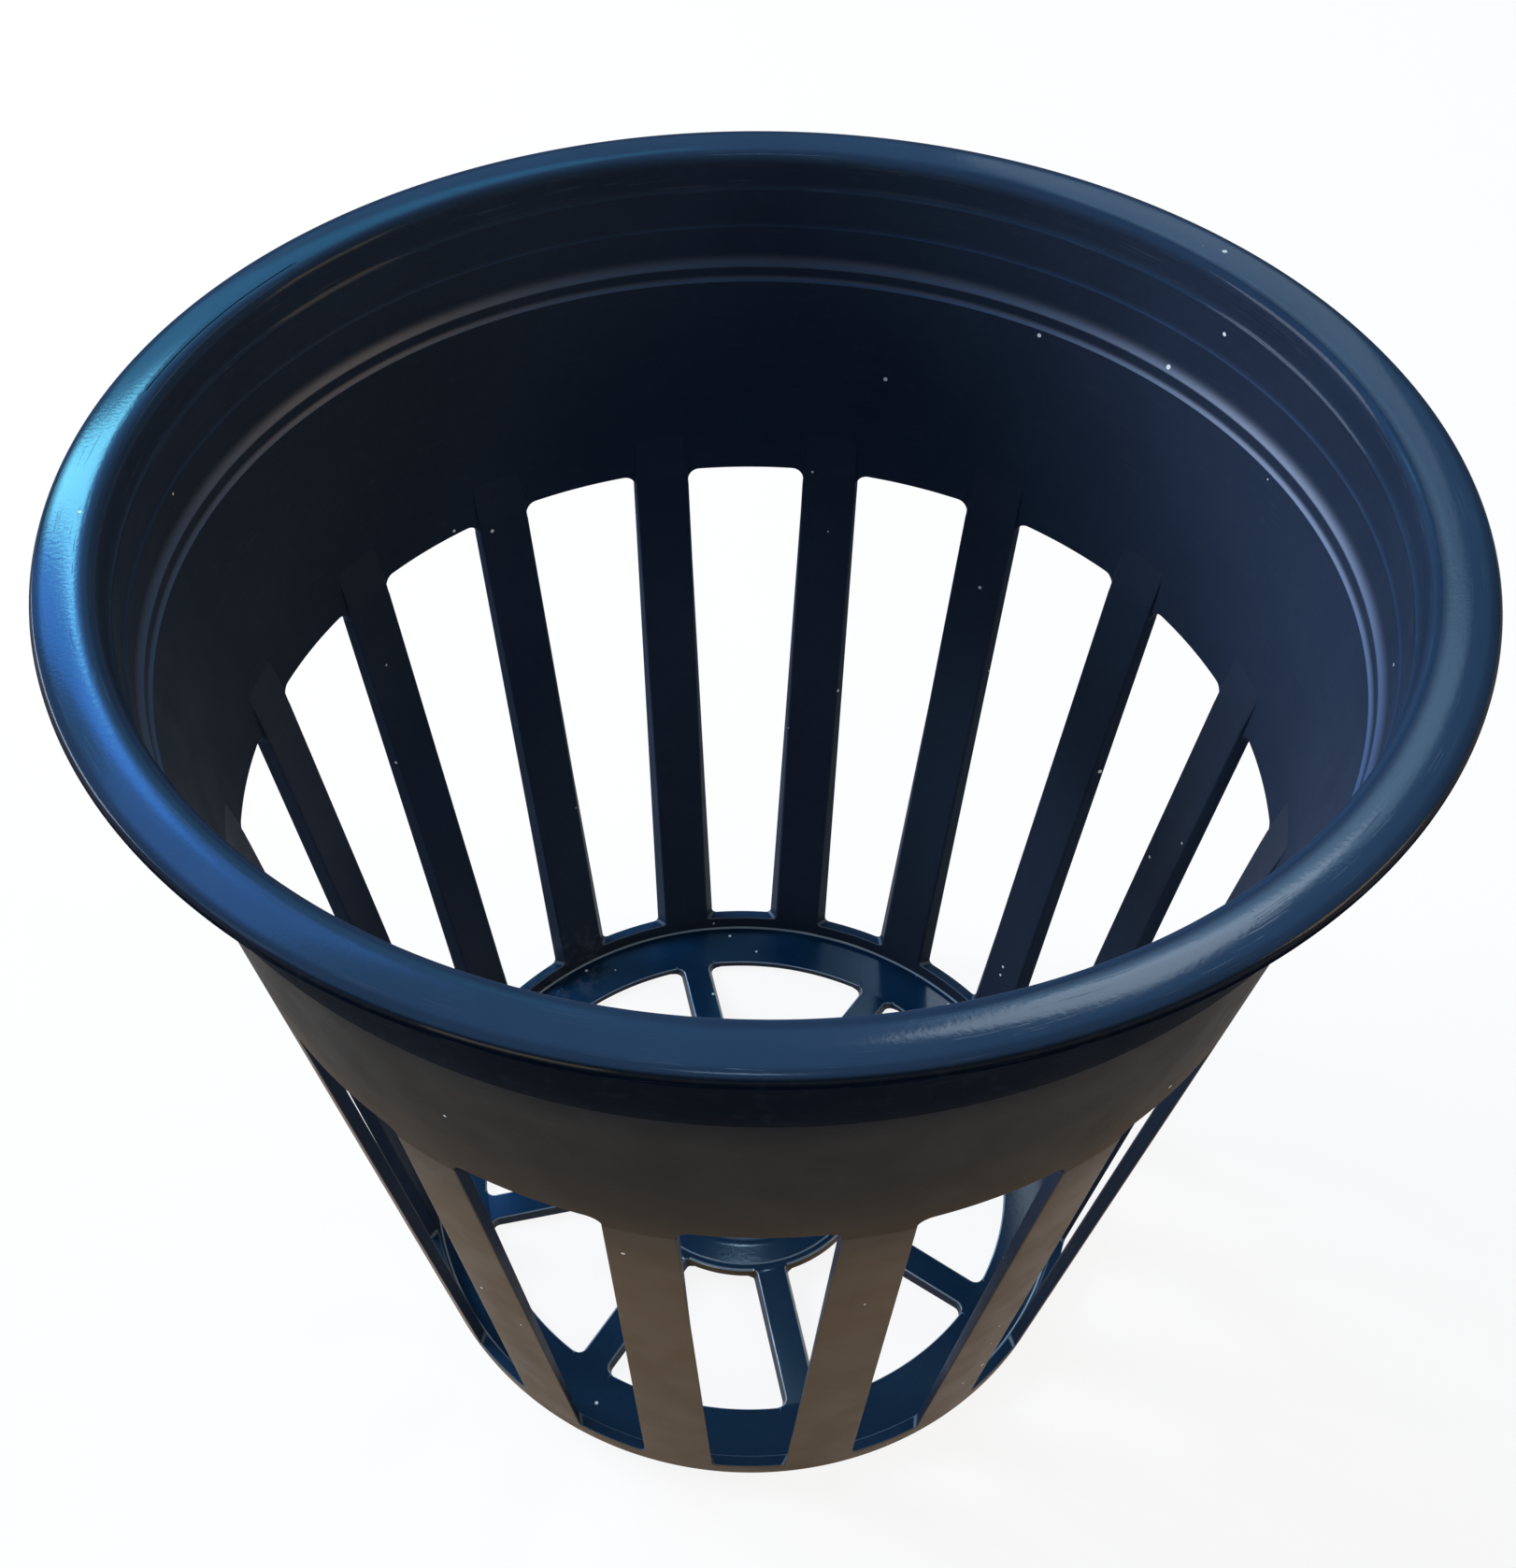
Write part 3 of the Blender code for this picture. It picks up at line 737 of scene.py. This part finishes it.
def spoke_piece():
    """A spoke that climbs from the ring to the hub, with hollow corners at both ends."""
    floor = floor_of()
    wall = wall_of()
    start = floor.hub_radius
    end = wall.base_radius - wall.thickness - SEAM - floor.ring_width
    hub_top, hub_low = floor.hub_lift + floor.hub_thickness, floor.hub_lift
    stations = [(start - SPOKE_OVERLAP, floor.hub_corner)]
    angles = [math.pi / 2 * step / CORNER_STEPS for step in range(CORNER_STEPS + 1)]
    hollow = [(1.0 - math.cos(angle), 1.0 - math.sin(angle)) for angle in angles]
    stations += [(start + floor.hub_corner * reach, floor.hub_corner * flare) for reach, flare in hollow]
    stations += [(end - floor.corner * reach, floor.corner * flare) for reach, flare in reversed(hollow)]
    stations.append((end + SPOKE_OVERLAP, floor.corner))

    def section(along, flare):
        share = min(max((along - start) / (end - start), 0.0), 1.0)
        upper = hub_top + (floor.thickness - hub_top) * share + TUCK / 2
        lower = hub_low * (1.0 - share) + TUCK / 2
        return upper, lower, floor.spoke_width / 2 + flare

    upper, lower, half = section(*stations[0])
    lean = floor.side_slope * (upper - lower)
    points = [(-half, upper), (half, upper), (half + lean, lower), (-half - lean, lower)]
    corners = [(side, upper, FLOOR_EDGE, SPOKE_EDGE_STEPS) for side in (-half, half)]
    piece = draw_profile("spoke", points, corners)
    edit(piece)
    bpy.ops.mesh.edge_face_add()
    move(y=stations[0][0])
    for before, after in zip(stations, stations[1:]):
        old_upper, old_lower, old_half = section(*before)
        new_upper, new_lower, new_half = section(*after)
        extrude(y=after[0] - before[0])
        deep = (new_upper - new_lower) / (old_upper - old_lower)
        scale(x=new_half / old_half, z=deep, about=(0.0, 0.0, old_upper))
        move(z=new_upper - old_upper)
    leave()
    for corner in piece.data.vertices:
        share = min(max((corner.co.y - start) / (end - start), 0.0), 1.0)
        bow = [math.sqrt(radius ** 2 - corner.co.x ** 2) - radius for radius in (start, end)]
        corner.co.y += bow[0] + (bow[1] - bow[0]) * share
    return sealed(swing(piece, -math.pi / wall.slot_count))


def dome(radius):
    """Height of the hub's domed top at a distance from its middle."""
    floor = floor_of()
    return floor.hub_lift + floor.hub_thickness + floor.hub_dome * (1.0 - (radius / floor.hub_radius) ** 2)


def hub_piece():
    """The domed disc in the middle with its raised centre and the fine groove inside its edge."""
    floor = floor_of()
    edge = floor.hub_radius - floor.hub_edge
    step = floor.step_radius
    radii = [step * share / HUB_STEPS for share in range(HUB_STEPS)]
    points = [(radius, dome(radius) + floor.step_height) for radius in radii]
    points += [(step - floor.step_height / 2, dome(step) + floor.step_height)]
    points += [(step + floor.step_height, dome(step))]
    groove = floor.hub_radius - GROOVE_INSET
    points += [(radius, dome(radius)) for radius in (*DOME_RADII, groove - floor.groove)]
    points += [(groove, dome(groove) - floor.groove), (groove + floor.groove, dome(groove))]
    points += arc(edge, dome(floor.hub_radius) - floor.hub_edge, floor.hub_edge, *HUB_EDGE_ARC)
    points += [(floor.hub_radius, floor.hub_lift + FLOOR_EDGE)]
    points += [(floor.hub_radius - FLOOR_EDGE, floor.hub_lift)]
    points += [(0.0, floor.hub_lift)]
    return turn("hub_moulded", points, closed=False)


def socket(node, key, value):
    """Set a node's input, or link another node's output to it."""
    if isinstance(value, bpy.types.NodeSocket):
        node.id_data.links.new(value, node.inputs[key])
    else:
        node.inputs[key].default_value = value


class Recipe:
    """A short way to write a material: each method adds a node and returns its output."""

    def __init__(self, name):
        self.material = bpy.data.materials.new(name)
        self.material.use_nodes = True
        self.tree = self.material.node_tree
        self.shader = self.tree.nodes["Principled BSDF"]
        self.place = self.add("ShaderNodeTexCoord").outputs["Object"]

    def add(self, kind, **settings):
        node = self.tree.nodes.new(kind)
        for setting, value in settings.items():
            setattr(node, setting, value)
        return node

    def math(self, operation, first, second=0.0):
        node = self.add("ShaderNodeMath", operation=operation)
        socket(node, 0, first)
        socket(node, 1, second)
        return node.outputs[0]

    def times(self, first, second):
        return self.math("MULTIPLY", first, second)

    def plus(self, first, second):
        return self.math("ADD", first, second)

    def ease(self, value, low, high, start=0.0, end=1.0):
        """Go softly from start to end while a value goes from low to high."""
        node = self.add("ShaderNodeMapRange", interpolation_type="SMOOTHSTEP")
        for key, number in (("Value", value), ("From Min", low), ("From Max", high),
                            ("To Min", start), ("To Max", end)):
            socket(node, key, number)
        return node.outputs[0]

    def noise(self, size, detail=4.0, place=None):
        """Noise with features of about a size in metres."""
        node = self.add("ShaderNodeTexNoise")
        socket(node, "Vector", place or self.place)
        socket(node, "Scale", 1.0 / size)
        socket(node, "Detail", detail)
        return node.outputs["Fac"]

    def cells(self, size):
        """Random spots: how far a point is from its cell's own, and the cell's random colour."""
        node = self.add("ShaderNodeTexVoronoi")
        socket(node, "Vector", self.place)
        socket(node, "Scale", 1.0 / size)
        return node.outputs["Distance"], node.outputs["Color"]

    def mix(self, share, first, second):
        node = self.add("ShaderNodeMix", data_type="RGBA")
        socket(node, 0, share)
        for key, colour in ((6, first), (7, second)):
            socket(node, key, colour if isinstance(colour, bpy.types.NodeSocket) else (*colour, 1.0))
        return node.outputs[2]

    def split(self, vector):
        node = self.add("ShaderNodeSeparateXYZ")
        socket(node, 0, vector)
        return node.outputs

    def round_place(self):
        """Distance from the axis, angle about it, and height."""
        x, y, z = self.split(self.place)
        radius = self.math("SQRT", self.plus(self.times(x, x), self.times(y, y)))
        return radius, self.math("ARCTAN2", y, x), z

    def facing(self, radius):
        """How squarely the surface faces away from the pot's axis, and how squarely up."""
        x, y = self.split(self.place)[:2]
        across, along, up = self.split(self.add("ShaderNodeNewGeometry").outputs["Normal"])
        outward = self.plus(self.times(x, across), self.times(y, along))
        return self.math("DIVIDE", outward, radius), up


def shaded(colour, factor):
    return tuple(part * factor for part in colour)


def rub_marks(recipe, radius, angle, height, scratches):
    """Fine marks that run round the pot."""
    turned = recipe.add("ShaderNodeCombineXYZ")
    for key, part in enumerate((radius, recipe.times(angle, RUB_LENGTH), height)):
        socket(turned, key, part)
    return recipe.ease(recipe.noise(RUB_SIZE, RUB_DETAIL, turned.outputs[0]), *RUB_RANGE, 0.0, scratches)


def dust_specks(recipe, dust):
    """One on a speck of dust and zero beside it, with specks in a share of the cells."""
    spread, chance = recipe.cells(SPECK_CELL)
    rarity, size = recipe.split(chance)[:2]
    speck = recipe.math("LESS_THAN", spread, recipe.ease(size, 0.0, 1.0, *SPECK_SIZES))
    return recipe.times(speck, recipe.math("LESS_THAN", rarity, dust))


def scuff_patch(recipe):
    """The rubbed patch on the floor's ring."""
    away = recipe.add("ShaderNodeVectorMath", operation="DISTANCE")
    socket(away, 0, recipe.place)
    socket(away, 1, SCUFF_PLACE)
    patch = recipe.ease(away.outputs["Value"], *SCUFF_REACH, 1.0, 0.0)
    return recipe.times(patch, recipe.ease(recipe.noise(SCUFF_SIZE, SCUFF_DETAIL), *SCUFF_RANGE))


def witness_line(recipe, radius, angle, witness):
    """The thin line that the mould left along a part of the rim."""
    beside = recipe.math("ABSOLUTE", recipe.math("SUBTRACT", radius, WITNESS_RADIUS))
    line = recipe.ease(beside, WITNESS_CORE * WITNESS_WIDTH, WITNESS_WIDTH, witness, 0.0)
    for limit, side in zip(WITNESS_SPAN, (1.0, -1.0)):
        along = recipe.times(recipe.math("SUBTRACT", angle, limit), side)
        line = recipe.times(line, recipe.ease(along, 0.0, WITNESS_FADE))
    return line


def moulded_plastic(name, painted_sky_colour, roughness, coat_roughness, shine, coat, dust, scratches,
                    coat_ior=1.5, witness=0.0, edges=0.0):
    """Black moulded plastic with painted light: painted sky-blue reflection on upper faces, near black on the
    wall inside, brownish outside with a painted warm reflection on the ribs, and painted shade on the neck.
    """
    finish = finish_of()
    recipe = Recipe(name)
    radius, angle, height = recipe.round_place()
    facing_out, facing_up = recipe.facing(radius)
    outside = recipe.ease(facing_out, *OUTWARD_BLEND)
    # Painted light: where upper faces get the painted sky blue and the coat, full on the lower ledges and the
    # crown, little on the upper ledges and the lip.
    ledges = recipe.ease(height, *LEDGE_BLEND, 1.0, LEDGE_SKY_LEFT)
    crown = recipe.times(recipe.ease(radius, *RIM_BLEND), recipe.ease(radius, *LIP_BLEND, 1.0, LIP_SKY_LEFT))
    painted_light_zone = recipe.math("MAXIMUM", ledges, crown)
    # Painted sky reflection: faces that look up take the blue upper colour.
    above = recipe.times(recipe.ease(facing_up, *UPWARD_BLEND), recipe.math("MAXIMUM", painted_light_zone, SKY_BLUE_LEFT))

    tone = recipe.mix(above, finish.wall_colour, painted_sky_colour)
    # Painted shade on the neck under the flange.
    neck = recipe.ease(height, *NECK_SHADE_BLEND)
    # Painted warm reflection: brown on the ribs outside, greyer on the band above.
    outer = recipe.mix(recipe.ease(height, *RIB_REFLECTION_BLEND), finish.rib_painted_reflection, finish.outer_colour)
    tone = recipe.mix(outside, tone, recipe.mix(neck, outer, finish.neck_shade_colour))
    cloud = recipe.ease(recipe.noise(CLOUD_SIZE), *CLOUD_RANGE)
    tone = recipe.mix(cloud, tone, recipe.mix(CLOUD_SHADE, tone, BLACK))
    tone = recipe.mix(recipe.ease(recipe.noise(WEAR_SIZE), *WEAR_RANGE), tone, finish.worn_colour)
    rub = rub_marks(recipe, radius, angle, height, scratches)
    tone = recipe.mix(recipe.times(rub, RUB_PALE), tone, finish.worn_colour)
    # Partly wear, partly a painted highlight on rounded edges that look half up.
    edge = recipe.times(recipe.ease(facing_up, *EDGE_RISE), recipe.ease(facing_up, *EDGE_FALL, edges, 0.0))
    tone = recipe.mix(edge, tone, finish.edge_wear_and_highlight)
    specks = dust_specks(recipe, dust)
    tone = recipe.mix(specks, tone, finish.dust_colour)
    scuff = scuff_patch(recipe)
    tone = recipe.mix(recipe.times(scuff, SCUFF_PALE), tone, finish.worn_colour)
    line = witness_line(recipe, radius, angle, witness)
    socket(recipe.shader, "Base Color", recipe.mix(line, tone, BLACK))

    # Painted reflection colour: reflections tinted sky blue on upper faces, dim and warm outside.
    tint = recipe.mix(outside, recipe.mix(above, finish.wall_tint, finish.painted_sky_tint), finish.outer_tint)
    socket(recipe.shader, "Specular Tint", tint)
    socket(recipe.shader, "Specular IOR Level", shine)
    upward = recipe.times(recipe.ease(facing_up, *SHINE_BLEND), painted_light_zone)
    marks = recipe.plus(recipe.times(line, WITNESS_DULL), recipe.times(rub, RUB_DULL))
    cover = recipe.times(recipe.math("SUBTRACT", 1.0, marks), recipe.times(upward, coat))
    socket(recipe.shader, "Coat Weight", recipe.math("MAXIMUM", cover, 0.0))
    socket(recipe.shader, "Coat Roughness", coat_roughness)
    socket(recipe.shader, "Coat IOR", coat_ior)

    gloss = recipe.noise(GLOSS_SIZE)
    gloss = recipe.ease(gloss, *GLOSS_RANGE, roughness - GLOSS_BELOW, roughness + GLOSS_ABOVE)
    socket(recipe.shader, "Roughness", recipe.plus(gloss, recipe.times(specks, SPECK_DULL)))
    grain = recipe.add("ShaderNodeBump")
    socket(grain, "Strength", GRAIN_STRENGTH)
    socket(grain, "Distance", GRAIN_DEPTH)
    relief = recipe.plus(recipe.noise(GRAIN_SIZE), recipe.times(rub, RUB_RELIEF))
    relief = recipe.plus(relief, recipe.times(scuff, SCUFF_RELIEF))
    relief = recipe.math("SUBTRACT", relief, recipe.times(line, WITNESS_RELIEF))
    socket(grain, "Height", recipe.plus(relief, recipe.times(specks, SPECK_RELIEF)))
    for key in ("Normal", "Coat Normal"):
        socket(recipe.shader, key, grain.outputs[0])


def stage_floor_material():
    """A pale floor that keeps the pot's shadow and is near white to the camera."""
    studio = studio_of()
    recipe = Recipe("stage_paper")
    cloud = recipe.ease(recipe.noise(PAPER_SIZE), *PAPER_RANGE)
    tone = recipe.mix(cloud, shaded(studio.floor_colour, PAPER_SHADE), studio.floor_colour)
    socket(recipe.shader, "Base Color", tone)
    socket(recipe.shader, "Roughness", PAPER_ROUGHNESS)
    glow = recipe.add("ShaderNodeEmission")
    light_path = recipe.add("ShaderNodeLightPath")
    seen = recipe.math("MAXIMUM", light_path.outputs["Is Camera Ray"], light_path.outputs["Is Glossy Ray"])
    seen = recipe.math("MAXIMUM", seen, light_path.outputs["Is Transmission Ray"])
    blend = recipe.add("ShaderNodeMixShader")
    socket(blend, 0, recipe.times(seen, studio.floor_glow))
    socket(blend, 1, recipe.shader.outputs[0])
    socket(blend, 2, glow.outputs[0])
    socket(recipe.tree.nodes["Material Output"], "Surface", blend.outputs[0])
    return recipe.material


def stage_world():
    """Blue light from above and a pale horizon."""
    studio = studio_of()
    world = bpy.data.worlds.new("stage_sky")
    bpy.context.scene.world = world
    world.use_nodes = True
    nodes, links = world.node_tree.nodes, world.node_tree.links
    background = nodes["Background"]
    split = nodes.new("ShaderNodeSeparateXYZ")
    links.new(nodes.new("ShaderNodeTexCoord").outputs["Generated"], split.inputs[0])
    blend = nodes.new("ShaderNodeMapRange")
    blend.interpolation_type = "SMOOTHSTEP"
    links.new(split.outputs[2], blend.inputs["Value"])
    blend.inputs["From Min"].default_value, blend.inputs["From Max"].default_value = HORIZON_BLEND
    tone = nodes.new("ShaderNodeMix")
    tone.data_type = "RGBA"
    links.new(blend.outputs[0], tone.inputs[0])
    tone.inputs[6].default_value = (*studio.horizon_colour, 1.0)
    tone.inputs[7].default_value = (*shaded(studio.sky_colour, studio.sky_strength), 1.0)
    links.new(tone.outputs[2], background.inputs["Color"])


def lamp(name, azimuth, elevation, size, tilt, power, colour):
    """A soft lamp that faces the pot. Its azimuth is clockwise from the back, seen from above."""
    around, up = math.radians(azimuth), math.radians(elevation)
    aim = Vector((0.0, 0.0, LAMP_AIM))
    ray = Vector((math.sin(around) * math.cos(up), math.cos(around) * math.cos(up), math.sin(up)))
    bpy.ops.object.select_all(action="DESELECT")
    bpy.ops.object.light_add(type="AREA", location=aim + LAMP_REACH * ray)
    light = bpy.context.object
    light.name = name
    light.data.shape = "RECTANGLE"
    light.data.size, light.data.size_y = size
    light.data.energy = power * studio_of().lamp_strength
    light.data.color = colour
    turned = ray.to_track_quat("Z", "Y") @ Quaternion((0.0, 0.0, 1.0), math.radians(tilt))
    light.rotation_euler = turned.to_euler()


class NETPOT_OT_rim(bpy.types.Operator):
    """Model the wide crowned rim."""
    bl_idname = "net_pot.rim"
    bl_label = "Rim"

    def execute(self, context):
        complete(rim_piece(), "rim_black", "rim_plastic", "rim_flange")
        return {"FINISHED"}


class NETPOT_OT_collar(bpy.types.Operator):
    """Model the two lower steps of the collar."""
    bl_idname = "net_pot.collar"
    bl_label = "Collar steps"

    def execute(self, context):
        for index, side in enumerate(("upper", "lower"), start=1):
            piece = collar_piece(f"collar_{side}_moulded", index)
            complete(piece, "wall_black", "wall_plastic", f"collar_ring_{side}")
        return {"FINISHED"}


class NETPOT_OT_band(bpy.types.Operator):
    """Model the plain band with the slots' rounded upper ends."""
    bl_idname = "net_pot.band"
    bl_label = "Band"

    def execute(self, context):
        complete(band_piece(), "wall_black", "wall_plastic", "wall_band")
        return {"FINISHED"}


class NETPOT_OT_ribs(bpy.types.Operator):
    """Model the ribs between the slots."""
    bl_idname = "net_pot.ribs"
    bl_label = "Ribs"

    def execute(self, context):
        ribs = all_round(rib_piece(), "rib", wall_of().slot_count)
        for index, rib in enumerate(ribs, start=1):
            complete(rib, "rib_black", "rib_plastic", f"rib_{index:02d}")
        return {"FINISHED"}


class NETPOT_OT_hoop(bpy.types.Operator):
    """Model the hoop at the base."""
    bl_idname = "net_pot.hoop"
    bl_label = "Base hoop"

    def execute(self, context):
        complete(hoop_piece(), "hoop_black", "wall_plastic", "base_hoop")
        return {"FINISHED"}


class NETPOT_OT_floor(bpy.types.Operator):
    """Model the floor: its ring, its spokes and the hub."""
    bl_idname = "net_pot.floor"
    bl_label = "Floor"

    def execute(self, context):
        complete(floor_ring_piece(), "floor_black", "floor_plastic", "floor_ring")
        spokes = all_round(spoke_piece(), "spoke", floor_of().spoke_count)
        for index, spoke in enumerate(spokes, start=1):
            complete(spoke, "floor_black", "floor_plastic", f"spoke_{index:02d}")
        complete(hub_piece(), "floor_black", "floor_plastic", "hub_disc")
        return {"FINISHED"}


class NETPOT_OT_plastics(bpy.types.Operator):
    """Make the plastics of the rim, the wall, the ribs, the hoop and the floor."""
    bl_idname = "net_pot.plastics"
    bl_label = "Plastics"

    def execute(self, context):
        finish = finish_of()
        # The upper colours given here are painted sky reflection, the ledges' one a painted highlight; edges
        # sets the partly painted highlight on rounded edges.
        moulded_plastic("rim_black", finish.rim_black_and_painted_sky, finish.wall_roughness, finish.rim_roughness,
                        shine=0.0, coat=1.0, dust=0.02, scratches=1.0, witness=1.0)
        moulded_plastic("wall_black", finish.ledge_painted_highlight, finish.ledge_roughness, finish.ledge_roughness,
                        shine=0.015, coat=0.8, dust=0.02, scratches=0.3, coat_ior=1.65)
        moulded_plastic("rib_black", finish.floor_colour, finish.wall_roughness, finish.wall_roughness,
                        shine=0.02, coat=0.5, dust=0.08, scratches=0.15)
        moulded_plastic("hoop_black", finish.floor_colour, finish.wall_roughness, finish.wall_roughness,
                        shine=0.02, coat=0.3, dust=0.16, scratches=0.2, edges=0.25)
        moulded_plastic("floor_black", finish.floor_colour, finish.wall_roughness, finish.floor_roughness,
                        shine=0.06, coat=0.8, dust=0.20, scratches=0.2, edges=0.9)
        return {"FINISHED"}


class NETPOT_OT_stage(bpy.types.Operator):
    """Set up the floor, the sky, the lamps and the camera."""
    bl_idname = "net_pot.stage"
    bl_label = "Stage"

    def execute(self, context):
        studio = studio_of()
        bpy.ops.object.select_all(action="DESELECT")
        bpy.ops.mesh.primitive_plane_add(size=FLOOR_SIZE, location=(0.0, 0.0, -FLOOR_GAP))
        ground = bpy.context.object
        ground.name = "stage_floor"
        ground.data.materials.append(stage_floor_material())
        stage_world()
        for settings in LAMPS:
            lamp(*settings)
        bpy.ops.object.camera_add(location=studio.camera_place, rotation=studio.camera_turn)
        camera = bpy.context.object
        camera.name = "photo_camera"
        camera.data.lens = studio.lens
        camera.data.sensor_width = SENSOR_WIDTH
        camera.data.clip_start = CLIP_START
        camera.data.shift_x, camera.data.shift_y = studio.camera_shift
        context.scene.camera = camera
        context.scene.view_settings.view_transform = "Standard"
        return {"FINISHED"}


class NETPOT_PT_sidebar(bpy.types.Panel):
    """Lists the pot's operators and its sizes."""
    bl_idname = "NETPOT_PT_sidebar"
    bl_label = "Net Pot"
    bl_space_type = "VIEW_3D"
    bl_region_type = "UI"
    bl_category = "Net Pot"

    def draw(self, context):
        for operator in OPERATORS:
            self.layout.operator(operator.bl_idname)
        for group, properties in GROUPS.items():
            box = self.layout.box()
            box.label(text=properties.__doc__)
            for name in properties.__annotations__:
                box.prop(getattr(context.scene, group), name)


GROUPS = {"net_pot_rim": RimSizes, "net_pot_wall": WallSizes, "net_pot_floor": FloorSizes,
          "net_pot_finish": Finish, "net_pot_studio": Studio}
OPERATORS = (NETPOT_OT_plastics, NETPOT_OT_rim, NETPOT_OT_collar, NETPOT_OT_band, NETPOT_OT_ribs,
             NETPOT_OT_hoop, NETPOT_OT_floor, NETPOT_OT_stage)


def register():
    for kind in (*GROUPS.values(), *OPERATORS, NETPOT_PT_sidebar):
        bpy.utils.register_class(kind)
    for group, properties in GROUPS.items():
        setattr(bpy.types.Scene, group, PointerProperty(type=properties))


def unregister():
    for group in GROUPS:
        delattr(bpy.types.Scene, group)
    for kind in reversed((*GROUPS.values(), *OPERATORS, NETPOT_PT_sidebar)):
        bpy.utils.unregister_class(kind)


def main():
    """Make the plastics, the pieces and the stage."""
    register()
    bpy.ops.net_pot.plastics()
    bpy.ops.net_pot.rim()
    bpy.ops.net_pot.collar()
    bpy.ops.net_pot.band()
    bpy.ops.net_pot.ribs()
    bpy.ops.net_pot.hoop()
    bpy.ops.net_pot.floor()
    bpy.ops.net_pot.stage()


if __name__ == "__main__":
    main()
